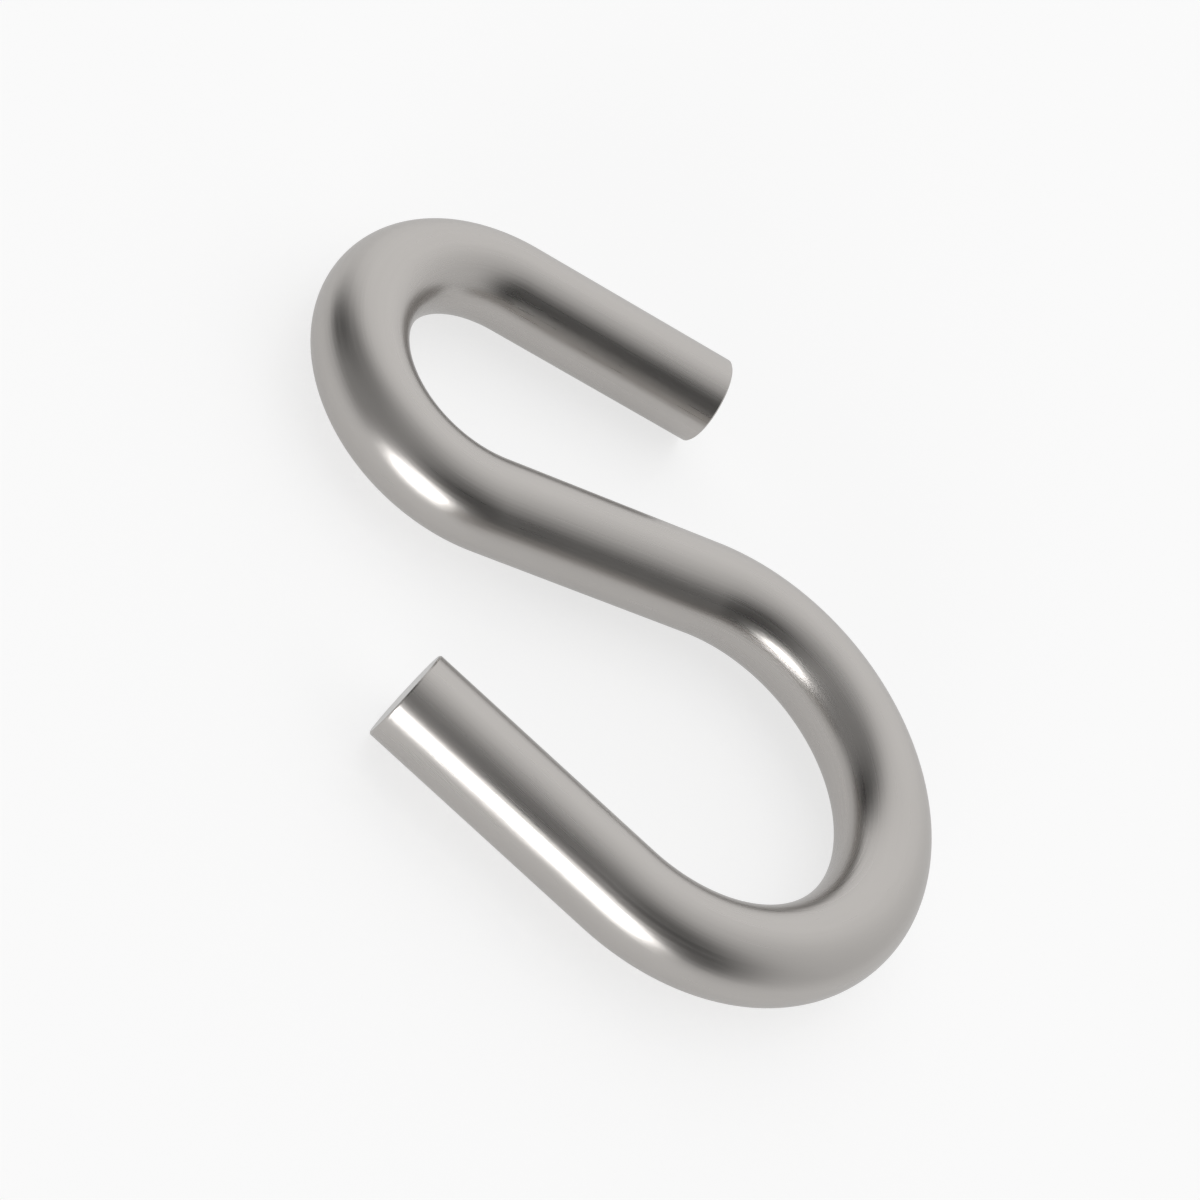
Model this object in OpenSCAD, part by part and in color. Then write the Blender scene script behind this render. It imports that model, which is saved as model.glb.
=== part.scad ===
// Asymmetric S hook: one length of round bar bent flat into a small upper hook and a
// large lower hook, joined by a straight shank, with both ends cut square.
// Sizes are in millimetres and degrees. The hook lies flat, as it comes to rest: +Z is up,
// square to the plane of the S, and +Y runs along the load line, from the centre of the
// lower bend to the centre of the upper one. The origin is the bottom centre of its box.

/* [Bar] */
// Diameter of the round bar
bar_d = 6; // [3:0.5:10]
// Width of the broken edge around each cut end
edge_break = 0.1; // [0.05:0.05:0.5]

/* [Shank] */
// Straight length between the two bends
shank = 15.5; // [8:0.5:30]

/* [Upper hook] */
// Inside diameter of the upper bend
upper_inside_d = 12.5; // [8:0.5:24]
// Angle that the bar turns through in the upper bend
upper_turn = 190; // [175:1:200]
// Straight leg from the upper bend to its cut end
upper_leg = 15; // [8:0.5:22]

/* [Lower hook] */
// Inside diameter of the lower bend
lower_inside_d = 20; // [14:0.5:32]
// Angle that the bar turns through in the lower bend
lower_turn = 210; // [185:1:220]
// Straight leg from the lower bend to its cut end
lower_leg = 16.5; // [8:0.5:22]

/* [Hidden] */
$fn = 96;

// Radius of the bar, and of each bend along the middle of the bar
bar_r = bar_d / 2;
upper_r = upper_inside_d / 2 + bar_r;
lower_r = lower_inside_d / 2 + bar_r;

// Length of the load line between the bend centres, and how far the shank leans from +X
span = norm([shank, upper_r + lower_r]);
lean = atan2(shank, upper_r + lower_r);

// Directions in which the two legs point to their cut ends
upper_heading = 180 - lean - upper_turn;
lower_heading = -lean - lower_turn;

// The shank runs a little way into both bends, and is slimmer by a hair to lie inside them
shank_run_in = 0.05;
shank_ease = 0.01;

// How far the end of a leg lies from its bend centre along X
function leg_reach(radius, heading, leg) = leg * cos(heading) - radius * sin(heading);

// Sides of the hook's box, measured from the centre of the lower bend
upper_tip = leg_reach(upper_r, upper_heading, upper_leg - edge_break) + bar_r * abs(sin(upper_heading));
lower_tip = leg_reach(lower_r, lower_heading, lower_leg - edge_break) - bar_r * abs(sin(lower_heading));
right_side = max(upper_tip, lower_r + bar_r);
left_side = min(lower_tip, -upper_r - bar_r);
far_side = span + upper_r + bar_r;
near_side = -lower_r - bar_r;

// Straight bar that leaves the origin along +X
module straight(length, radius) {
    rotate([0, 90, 0]) cylinder(h = length, r = radius);
}

// Straight leg that leaves the origin along +X and ends in a square cut with a broken edge
module leg(length) {
    straight(length - edge_break, bar_r);
    translate([length - edge_break, 0, 0]) rotate([0, 90, 0])
        cylinder(h = edge_break, r1 = bar_r, r2 = bar_r - edge_break);
}

// One hook about the centre of its bend, with its leg leaving the top of the bend along +X
module hook(radius, turn, leg_length) {
    rotate_extrude(angle = turn, start = 90)
        translate([radius, 0]) circle(r = bar_r);
    translate([0, radius, 0]) leg(leg_length);
}

// The two hooks on the load line and the shank between them, about the centre of the lower bend
module bent_bar() {
    rotate([0, 0, lower_heading]) hook(lower_r, lower_turn, lower_leg);
    translate([0, span, 0]) rotate([0, 0, upper_heading]) hook(upper_r, upper_turn, upper_leg);
    rotate([0, 0, -lean]) translate([-shank - shank_run_in, lower_r, 0])
        straight(shank + 2 * shank_run_in, bar_r - shank_ease);
}

module s_hook() {
    color([0.75, 0.74, 0.73])
        translate([-(left_side + right_side) / 2, -(near_side + far_side) / 2, bar_r])
        bent_bar();
}

s_hook();
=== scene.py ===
import math
from collections import namedtuple

import bpy
from mathutils import Matrix, Vector


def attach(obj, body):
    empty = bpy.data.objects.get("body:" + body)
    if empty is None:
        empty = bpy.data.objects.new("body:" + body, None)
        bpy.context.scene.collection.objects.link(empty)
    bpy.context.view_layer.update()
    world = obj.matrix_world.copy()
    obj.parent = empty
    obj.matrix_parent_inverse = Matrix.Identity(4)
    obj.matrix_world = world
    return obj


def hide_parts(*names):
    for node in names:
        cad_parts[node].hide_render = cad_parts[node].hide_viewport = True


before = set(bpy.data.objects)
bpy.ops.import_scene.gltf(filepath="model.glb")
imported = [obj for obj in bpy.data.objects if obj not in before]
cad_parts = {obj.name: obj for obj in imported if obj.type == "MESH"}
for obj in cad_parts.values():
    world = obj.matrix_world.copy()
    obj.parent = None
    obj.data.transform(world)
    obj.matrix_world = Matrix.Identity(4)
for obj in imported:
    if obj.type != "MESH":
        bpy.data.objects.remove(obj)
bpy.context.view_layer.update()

# Sizes of the hook, in metres and degrees, as in the part's source
BAR_D = 0.006
EDGE_BREAK = 0.0001
SHANK = 0.0155
UPPER_INSIDE_D = 0.0125
UPPER_TURN = 190
UPPER_LEG = 0.015
LOWER_INSIDE_D = 0.020
LOWER_TURN = 210
LOWER_LEG = 0.0165

# Radius of the bar and of each bend, length of the load line, and lean of the shank
BAR_R = BAR_D / 2
UPPER_R = UPPER_INSIDE_D / 2 + BAR_R
LOWER_R = LOWER_INSIDE_D / 2 + BAR_R
SPAN = math.hypot(SHANK, UPPER_R + LOWER_R)
LEAN = math.degrees(math.atan2(SHANK, UPPER_R + LOWER_R))

# How finely the bar is drawn: sides of a ring, degrees and metres between rings, rings of a cut face
SIDES = 128
BEND_STEP = 1.5
STRAIGHT_STEP = 0.0006
CAP_RINGS = 8

# Distance each way over which the bend is averaged, so that its strain fades into the straights
BEND_EASE = 0.002

# Flat map of the bar: strips that it is cut into, the gap beside each, and half the room of a cut face
STRIPS = 3
STRIP_GAP = 0.0004
DISC_ROOM = 1.1 * BAR_R

# Camera of the photograph
CAMERA_AIM = (0.00006, 0.00002, 0.003)
CAMERA_AZIMUTH = 199.6
CAMERA_ELEVATION = 42.0
CAMERA_ROLL = 46.4
CAMERA_DISTANCE = 0.199
CAMERA_LENS = 98.56
CAMERA_SENSOR = 36
CAMERA_CLIP = 0.01

# Colours of the steel: the skin of the bar, its tint at the rim, and the cut faces
STEEL = (0.46, 0.441, 0.423)
STEEL_EDGE = (0.85, 0.85, 0.85, 1)
CUT_STEEL = (0.62, 0.615, 0.605)

# Noise in use: the range that most of it lies in, and how rough its finer levels are
NOISE_RANGE = (0.3, 0.7)
NOISE_GAIN = 0.6

# Lines from drawing, along the bar: features a metre, levels of detail, depth, change in roughness
LINE_SCALE = (6500, 6500, 40)
LINE_DETAIL = 4
LINE_DEPTH = 0.000005
LINE_ROUGH = 0.035

# Slow cloudy change in the polish: features a metre, levels of detail, changes in roughness and colour
CLOUD_SCALE = (300, 300, 120)
CLOUD_DETAIL = 4
CLOUD_ROUGH = 0.02
CLOUD_TINT = 0.05

# Thin handling marks that cross the lines both ways: features a metre and turn in radians of each set
MARK_SETS = (
    ((5200, 260, 1), 0.5),
    ((4300, 330, 1), -0.8),
)
MARK_DETAIL = 2
MARK_RANGE = (0.70, 0.78)
MARK_DEPTH = 0.000002
MARK_ROUGH = 0.07

# Roughness of the skin, and its change from bending up to the full strain
STEEL_ROUGH = 0.3
FULL_STRAIN = 0.3
STRAIN_ROUGH = 0.02

# Saw marks on the cut faces: middle of the saw, arcs and grain, the grain's share, depth and finish
SAW_MIDDLE = (-0.042, 0.016, 0)
SAW_SCALE = (4200, 1, 1)
SAW_DETAIL = 4
GRAIN_SCALE = (2200, 2200, 2200)
GRAIN_DETAIL = 3
GRAIN_SHARE = 0.3
SAW_DEPTH = 0.00003
SAW_ROUGH = (0.26, 0.48)
SAW_TINT = 0.22

# Pale floor, its thin sheen at low angles, and the whiteness that is added only where it is seen
FLOOR_SIZE = 8
FLOOR_COLOUR = (0.40, 0.40, 0.40, 1)
FLOOR_ROUGH = 0.15
FLOOR_IOR = 1.12
FLOOR_LIFT = 0.69
WHITE = (1, 1, 1, 1)

# Level of the light all round, and the fields that lie over it, each over those before it:
# name, azimuth, elevation, half width and half height in degrees, softness of the edge, level
STUDIO_LEVEL = 0.73
STUDIO_FIELDS = (
    ("far_wall", 39, 29, 54, 48, 0.57, 1.11),
    ("near_shade", 152, 28, 34, 43, 0.47, 0.34),
    ("left_gap", 113, 8, 17, 40, 0.7, 0.06),
    ("right_gap", 240, 24, 32, 46, 0.45, 0.06),
    ("low_panel", 212, 1, 19, 12, 0.4, 11.0),
)

# Sockets of a Mix node, which share their names: first and second input, and output
MIX_SOCKETS = {"FLOAT": (2, 3, 0), "RGBA": (6, 7, 2)}

# A point on the middle line of the bar, and a ring of points round it
Point = namedtuple("Point", "at angle along bend")
Ring = namedtuple("Ring", "at angle along bend radius")


def heading(angle):
    """Level direction at an angle from +X."""
    return Vector((math.cos(math.radians(angle)), math.sin(math.radians(angle)), 0))


def straight_run(start, length):
    """Points along a straight from a start point."""
    count = round(length / STRAIGHT_STEP)
    points = []
    for i in range(1, count + 1):
        step = length * i / count
        points.append(Point(start.at + heading(start.angle) * step, start.angle, start.along + step, 0.0))
    return points


def bend_run(start, radius, turn):
    """Points along a bend from a start point, to the left for a positive turn."""
    count = round(abs(turn) / BEND_STEP)
    side = math.copysign(90, turn)
    centre = start.at + heading(start.angle + side) * radius
    bend = math.copysign(1 / radius, turn)
    points = []
    for i in range(1, count + 1):
        angle = start.angle + turn * i / count
        along = start.along + math.radians(abs(turn)) * radius * i / count
        points.append(Point(centre + heading(angle - side) * radius, angle, along, bend))
    return points


def bar_path():
    """Points along the middle of the bar, from the cut end of the lower leg to that of the upper leg."""
    lower_heading = -LEAN - LOWER_TURN
    # Cut end of the lower leg, measured from the centre of the lower bend
    at = heading(lower_heading + 90) * LOWER_R + heading(lower_heading) * LOWER_LEG
    points = [Point(at, lower_heading + 180, 0.0, 0.0)]
    points += straight_run(points[-1], LOWER_LEG)
    points += bend_run(points[-1], LOWER_R, LOWER_TURN)
    points += straight_run(points[-1], SHANK)
    points += bend_run(points[-1], UPPER_R, -UPPER_TURN)
    points += straight_run(points[-1], UPPER_LEG)
    return points


def eased_bend(path, point):
    """Bend at a point, averaged over the path near it."""
    near = [p.bend for p in path if abs(p.along - point.along) < BEND_EASE]
    return sum(near) / len(near)


def bar_rings():
    """Rings of the bar from one cut face to the other, with the broken edge of each."""
    path = bar_path()
    first = path[0]
    last = path[-1]
    face = [(BAR_R - EDGE_BREAK) * i / CAP_RINGS for i in range(1, CAP_RINGS + 1)]
    first_rim = first.at + heading(first.angle) * EDGE_BREAK
    last_rim = last.at - heading(last.angle) * EDGE_BREAK
    rings = [Ring(first.at, first.angle, first.along, 0.0, radius) for radius in face]
    rings.append(Ring(first_rim, first.angle, first.along + EDGE_BREAK, 0.0, BAR_R))
    rings += [Ring(p.at, p.angle, p.along, eased_bend(path, p), BAR_R) for p in path[1:-1]]
    rings.append(Ring(last_rim, last.angle, last.along - EDGE_BREAK, 0.0, BAR_R))
    rings += [Ring(last.at, last.angle, last.along, 0.0, radius) for radius in reversed(face)]
    return rings


def bar_points(rings):
    """Points of the mesh: their places, their places before bending, and their strain from bending."""
    places, straight, strain = [], [], []
    for ring in rings:
        left = heading(ring.angle + 90)
        for k in range(SIDES):
            turn = 2 * math.pi * k / SIDES - math.pi / 2
            x = ring.radius * math.cos(turn)
            y = ring.radius * math.sin(turn)
            places.append(ring.at + left * x + Vector((0, 0, y)))
            straight.append((x, y, ring.along))
            strain.append(-ring.bend * x)
    # The middle of each cut face
    for ring in (rings[0], rings[-1]):
        places.append(ring.at)
        straight.append((0, 0, ring.along))
        strain.append(0)
    return places, straight, strain


def bar_faces(rings):
    """Faces of the mesh, which of them are cut faces, and their corners on two maps.

    One map is the bar unrolled in metres. The other is the same cut into strips and fitted into a unit
    square, with the two cut faces beside the strips.
    """
    around = 2 * math.pi * BAR_R
    strip_length = rings[-1].along / STRIPS
    strip_pitch = around + STRIP_GAP
    page = STRIPS * strip_pitch
    faces, cut, unrolled, packed = [], [], [], []

    def on_disc(step, radius, end):
        turn = 2 * math.pi * step / SIDES
        across = strip_length + STRIP_GAP + DISC_ROOM + radius * math.cos(turn)
        up = DISC_ROOM * (1 + 2 * end) + radius * math.sin(turn)
        return across / page, up / page

    def on_strip(step, along, strip):
        across = along - strip * strip_length
        up = strip * strip_pitch + around * step / SIDES
        return across / page, up / page

    for i in range(len(rings) - 1):
        low = rings[i]
        high = rings[i + 1]
        in_cut = low.along == high.along
        end = 0 if i < len(rings) / 2 else 1
        strip = min(STRIPS - 1, int((low.along + high.along) / 2 / strip_length))
        for k in range(SIDES):
            m = (k + 1) % SIDES
            faces.append((i * SIDES + k, i * SIDES + m, (i + 1) * SIDES + m, (i + 1) * SIDES + k))
            cut.append(in_cut)
            for ring, step in ((low, k), (low, k + 1), (high, k + 1), (high, k)):
                unrolled.append((around * step / SIDES, ring.along))
                if in_cut:
                    packed.append(on_disc(step, ring.radius, end))
                else:
                    packed.append(on_strip(step, ring.along, strip))

    # Triangles round the middle of each cut face
    for end, i in ((0, 0), (1, len(rings) - 1)):
        ring = rings[i]
        middle = len(rings) * SIDES + end
        for k in range(SIDES):
            pair = (k, k + 1) if end else (k + 1, k)
            faces.append((middle, *(i * SIDES + step % SIDES for step in pair)))
            cut.append(True)
            unrolled.append((0, ring.along))
            unrolled += [(around * step / SIDES, ring.along) for step in pair]
            packed.append(on_disc(0, 0, end))
            packed += [on_disc(step, ring.radius, end) for step in pair]
    return faces, cut, unrolled, packed


def bent_bar():
    """Mesh of the bent bar, which lies on the floor with its box about the origin."""
    rings = bar_rings()
    places, straight, strain = bar_points(rings)
    faces, cut, unrolled, packed = bar_faces(rings)
    across = [place.x for place in places]
    shift = Vector((-(min(across) + max(across)) / 2, -(SPAN + UPPER_R - LOWER_R) / 2, BAR_R))

    mesh = bpy.data.meshes.new("bent_bar")
    mesh.from_pydata([place + shift for place in places], [], faces)
    mesh.polygons.foreach_set("use_smooth", [True] * len(faces))
    mesh.polygons.foreach_set("material_index", [int(in_cut) for in_cut in cut])
    for name, corners in (("OFBake", packed), ("unrolled", unrolled)):
        layer = mesh.uv_layers.new(name=name)
        layer.data.foreach_set("uv", [value for corner in corners for value in corner])
    before = mesh.attributes.new("straight_bar", "FLOAT_VECTOR", "POINT")
    before.data.foreach_set("vector", [value for place in straight for value in place])
    mesh.attributes.new("strain", "FLOAT", "POINT").data.foreach_set("value", strain)

    # Both rims of each broken edge stay crisp
    last = len(rings) - 1
    crisp = {CAP_RINGS - 1, CAP_RINGS, last - CAP_RINGS, last - CAP_RINGS + 1}
    for edge in mesh.edges:
        on = {v // SIDES for v in edge.vertices}
        edge.use_edge_sharp = len(on) == 1 and on <= crisp
    return mesh


def node(tree, kind, inputs=None, **settings):
    """A node with its settings, and its inputs linked or set."""
    made = tree.nodes.new(kind)
    for name, value in settings.items():
        setattr(made, name, value)
    for key, value in (inputs or {}).items():
        if isinstance(value, bpy.types.NodeSocket):
            tree.links.new(value, made.inputs[key])
        else:
            made.inputs[key].default_value = value
    return made


def maths(tree, operation, first, second):
    """The result of an operation on two numbers."""
    return node(tree, "ShaderNodeMath", {0: first, 1: second}, operation=operation).outputs["Value"]


def vector_maths(tree, operation, *inputs):
    """The number that an operation on vectors gives."""
    made = node(tree, "ShaderNodeVectorMath", dict(enumerate(inputs)), operation=operation)
    return made.outputs["Value"]


def mix(tree, kind, factor, low, high, **settings):
    """A number or colour from low to high as the factor goes from 0 to 1."""
    first, second, out = MIX_SOCKETS[kind]
    inputs = {"Factor": factor, first: low, second: high}
    return node(tree, "ShaderNodeMix", inputs, data_type=kind, **settings).outputs[out]


def noise(tree, place, scale, detail, turn=0.0):
    """Noise with its scale along each axis, in features a metre."""
    inputs = {"Vector": place, "Rotation": (0, 0, turn), "Scale": scale}
    at = node(tree, "ShaderNodeMapping", inputs).outputs["Vector"]
    inputs = {"Vector": at, "Scale": 1, "Detail": detail, "Roughness": NOISE_GAIN}
    return node(tree, "ShaderNodeTexNoise", inputs).outputs["Fac"]


def spread(tree, value, old, new, **settings):
    """A value brought from one range to another, and held at its ends."""
    inputs = {"Value": value, "From Min": old[0], "From Max": old[1], "To Min": new[0], "To Max": new[1]}
    return node(tree, "ShaderNodeMapRange", inputs, **settings).outputs["Result"]


def add(tree, *values):
    """The sum of several values."""
    total = values[0]
    for value in values[1:]:
        total = maths(tree, "ADD", total, value)
    return total


def tint(tree, factor, colour, change):
    """The colour made darker or lighter as the factor goes from 0 to 1."""
    dark = [c * (1 - change) for c in colour] + [1]
    light = [c * (1 + change) for c in colour] + [1]
    return mix(tree, "RGBA", factor, dark, light)


def metal(name):
    """A metal material, with its shader and the place of each point on the bar before bending."""
    made = bpy.data.materials.new(name)
    made.use_nodes = True
    tree = made.node_tree
    shader = tree.nodes["Principled BSDF"]
    shader.inputs["Metallic"].default_value = 1
    shader.inputs["Specular Tint"].default_value = STEEL_EDGE
    place = node(tree, "ShaderNodeAttribute", attribute_name="straight_bar").outputs["Vector"]
    return made, tree, shader, place


def satin_steel():
    """The drawn skin of the bar."""
    made, tree, shader, place = metal("satin_steel")
    lines = noise(tree, place, LINE_SCALE, LINE_DETAIL)
    cloud = noise(tree, place, CLOUD_SCALE, CLOUD_DETAIL)
    flat = node(tree, "ShaderNodeUVMap", uv_map="unrolled").outputs["UV"]
    sets = [noise(tree, flat, scale, MARK_DETAIL, turn) for scale, turn in MARK_SETS]
    marks = add(tree, *(spread(tree, one, MARK_RANGE, (0, 1)) for one in sets))
    # Bending roughens the stretched outer side and burnishes the inner side
    strain = node(tree, "ShaderNodeAttribute", attribute_name="strain").outputs["Fac"]
    rough = add(
        tree,
        spread(tree, lines, NOISE_RANGE, (STEEL_ROUGH - LINE_ROUGH, STEEL_ROUGH + LINE_ROUGH)),
        spread(tree, cloud, NOISE_RANGE, (-CLOUD_ROUGH, CLOUD_ROUGH)),
        spread(tree, strain, (-FULL_STRAIN, FULL_STRAIN), (-STRAIN_ROUGH, STRAIN_ROUGH)),
        spread(tree, marks, (0, 1), (0, MARK_ROUGH)),
    )
    tree.links.new(rough, shader.inputs["Roughness"])
    tree.links.new(tint(tree, cloud, STEEL, CLOUD_TINT), shader.inputs["Base Color"])
    inputs = {"Height": lines, "Strength": 1, "Distance": LINE_DEPTH}
    lined = node(tree, "ShaderNodeBump", inputs).outputs["Normal"]
    inputs = {"Height": marks, "Strength": 1, "Distance": MARK_DEPTH, "Normal": lined}
    marked = node(tree, "ShaderNodeBump", inputs, invert=True).outputs["Normal"]
    tree.links.new(marked, shader.inputs["Normal"])
    return made


def cut_steel():
    """The sawn ends of the bar, with shallow arcs round a middle that lies outside the face."""
    made, tree, shader, place = metal("cut_steel")
    # The length of the bar is left out, so that both ends have the same arcs
    flat = node(tree, "ShaderNodeVectorMath", {0: place, 1: (1, 1, 0)}, operation="MULTIPLY")
    reach = vector_maths(tree, "DISTANCE", flat.outputs["Vector"], SAW_MIDDLE)
    ray = node(tree, "ShaderNodeCombineXYZ", {"X": reach}).outputs["Vector"]
    arcs = noise(tree, ray, SAW_SCALE, SAW_DETAIL)
    grain = noise(tree, place, GRAIN_SCALE, GRAIN_DETAIL)
    sawn = mix(tree, "FLOAT", GRAIN_SHARE, arcs, grain)
    tree.links.new(spread(tree, sawn, NOISE_RANGE, SAW_ROUGH), shader.inputs["Roughness"])
    tree.links.new(tint(tree, sawn, CUT_STEEL, SAW_TINT), shader.inputs["Base Color"])
    bump = node(tree, "ShaderNodeBump", {"Height": sawn, "Strength": 1, "Distance": SAW_DEPTH})
    tree.links.new(bump.outputs["Normal"], shader.inputs["Normal"])
    return made


def pale_floor():
    """Material of the floor: matt and pale, and mirroring a little where it is seen at a low angle."""
    made = bpy.data.materials.new("pale_floor")
    made.use_nodes = True
    tree = made.node_tree
    tree.nodes.remove(tree.nodes["Principled BSDF"])
    matt = node(tree, "ShaderNodeBsdfDiffuse", {"Color": FLOOR_COLOUR})
    # The lift is seen by the camera and in metal or glass, and lights nothing else
    path = node(tree, "ShaderNodeLightPath").outputs
    seen = maths(tree, "MAXIMUM", path["Is Camera Ray"], path["Is Glossy Ray"])
    seen = maths(tree, "MAXIMUM", seen, path["Is Transmission Ray"])
    lift = maths(tree, "MULTIPLY", seen, FLOOR_LIFT)
    glow = node(tree, "ShaderNodeEmission", {"Color": WHITE, "Strength": lift})
    pale = node(tree, "ShaderNodeAddShader", {0: matt.outputs["BSDF"], 1: glow.outputs["Emission"]})
    sheen = node(tree, "ShaderNodeBsdfGlossy", {"Color": WHITE, "Roughness": FLOOR_ROUGH})
    low = node(tree, "ShaderNodeFresnel", {"IOR": FLOOR_IOR})
    inputs = {0: low.outputs["Fac"], 1: pale.outputs["Shader"], 2: sheen.outputs["BSDF"]}
    both = node(tree, "ShaderNodeMixShader", inputs)
    tree.links.new(both.outputs["Shader"], tree.nodes["Material Output"].inputs["Surface"])
    return made


def floor_piece():
    """The floor, as one square under the hook."""
    half = FLOOR_SIZE / 2
    corners = [(-half, -half, 0), (half, -half, 0), (half, half, 0), (-half, half, 0)]
    mesh = bpy.data.meshes.new("floor")
    mesh.from_pydata(corners, [], [(0, 1, 2, 3)])
    mesh.materials.append(pale_floor())
    return bpy.data.objects.new("floor", mesh)


def studio():
    """World light: one level all round, with soft oval fields mixed over it in turn."""
    world = bpy.data.worlds.new("studio")
    world.use_nodes = True
    tree = world.node_tree
    way = node(tree, "ShaderNodeTexCoord").outputs["Generated"]
    up = Vector((0, 0, 1))
    level = STUDIO_LEVEL
    for name, azimuth, elevation, half_width, half_height, softness, strength in STUDIO_FIELDS:
        rise = math.radians(elevation)
        flat = heading(azimuth)
        centre = flat * math.cos(rise) + up * math.sin(rise)
        beside = heading(azimuth + 90) / math.sin(math.radians(half_width))
        above = (up * math.cos(rise) - flat * math.sin(rise)) / math.sin(math.radians(half_height))
        x = vector_maths(tree, "DOT_PRODUCT", way, beside)
        y = vector_maths(tree, "DOT_PRODUCT", way, above)
        z = vector_maths(tree, "DOT_PRODUCT", way, centre)
        oval = node(tree, "ShaderNodeCombineXYZ", {"X": x, "Y": y}).outputs["Vector"]
        reach = vector_maths(tree, "LENGTH", oval)
        edge = (1 + softness, 1 - softness)
        inside = spread(tree, reach, edge, (0, 1), interpolation_type="SMOOTHSTEP")
        ahead = maths(tree, "GREATER_THAN", z, 0)
        weight = maths(tree, "MULTIPLY", inside, ahead)
        level = mix(tree, "FLOAT", weight, level, strength, label=name)
    background = tree.nodes["Background"]
    tree.links.new(level, background.inputs["Color"])
    background.inputs["Strength"].default_value = 1
    bpy.context.scene.world = world


def camera():
    """Camera at the photograph's viewing angle."""
    data = bpy.data.cameras.new("camera")
    data.sensor_width = CAMERA_SENSOR
    data.lens = CAMERA_LENS
    data.clip_start = CAMERA_CLIP
    made = bpy.data.objects.new("camera", data)
    rise = math.radians(CAMERA_ELEVATION)
    back = heading(CAMERA_AZIMUTH) * math.cos(rise) + Vector((0, 0, math.sin(rise)))
    made.location = Vector(CAMERA_AIM) + back * CAMERA_DISTANCE
    roll = Matrix.Rotation(math.radians(CAMERA_ROLL), 3, "Z")
    made.rotation_euler = (back.to_track_quat("Z", "Y").to_matrix() @ roll).to_euler()
    bpy.context.scene.collection.objects.link(made)
    bpy.context.scene.camera = made


camera()
studio()

hook = bpy.data.objects.new("bent_bar", bent_bar())
bpy.context.scene.collection.objects.link(hook)
hook.data.materials.append(satin_steel())
hook.data.materials.append(cut_steel())
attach(hook, "root")
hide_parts("s_hook")

floor = floor_piece()
bpy.context.scene.collection.objects.link(floor)

bpy.context.scene.view_settings.view_transform = "Standard"
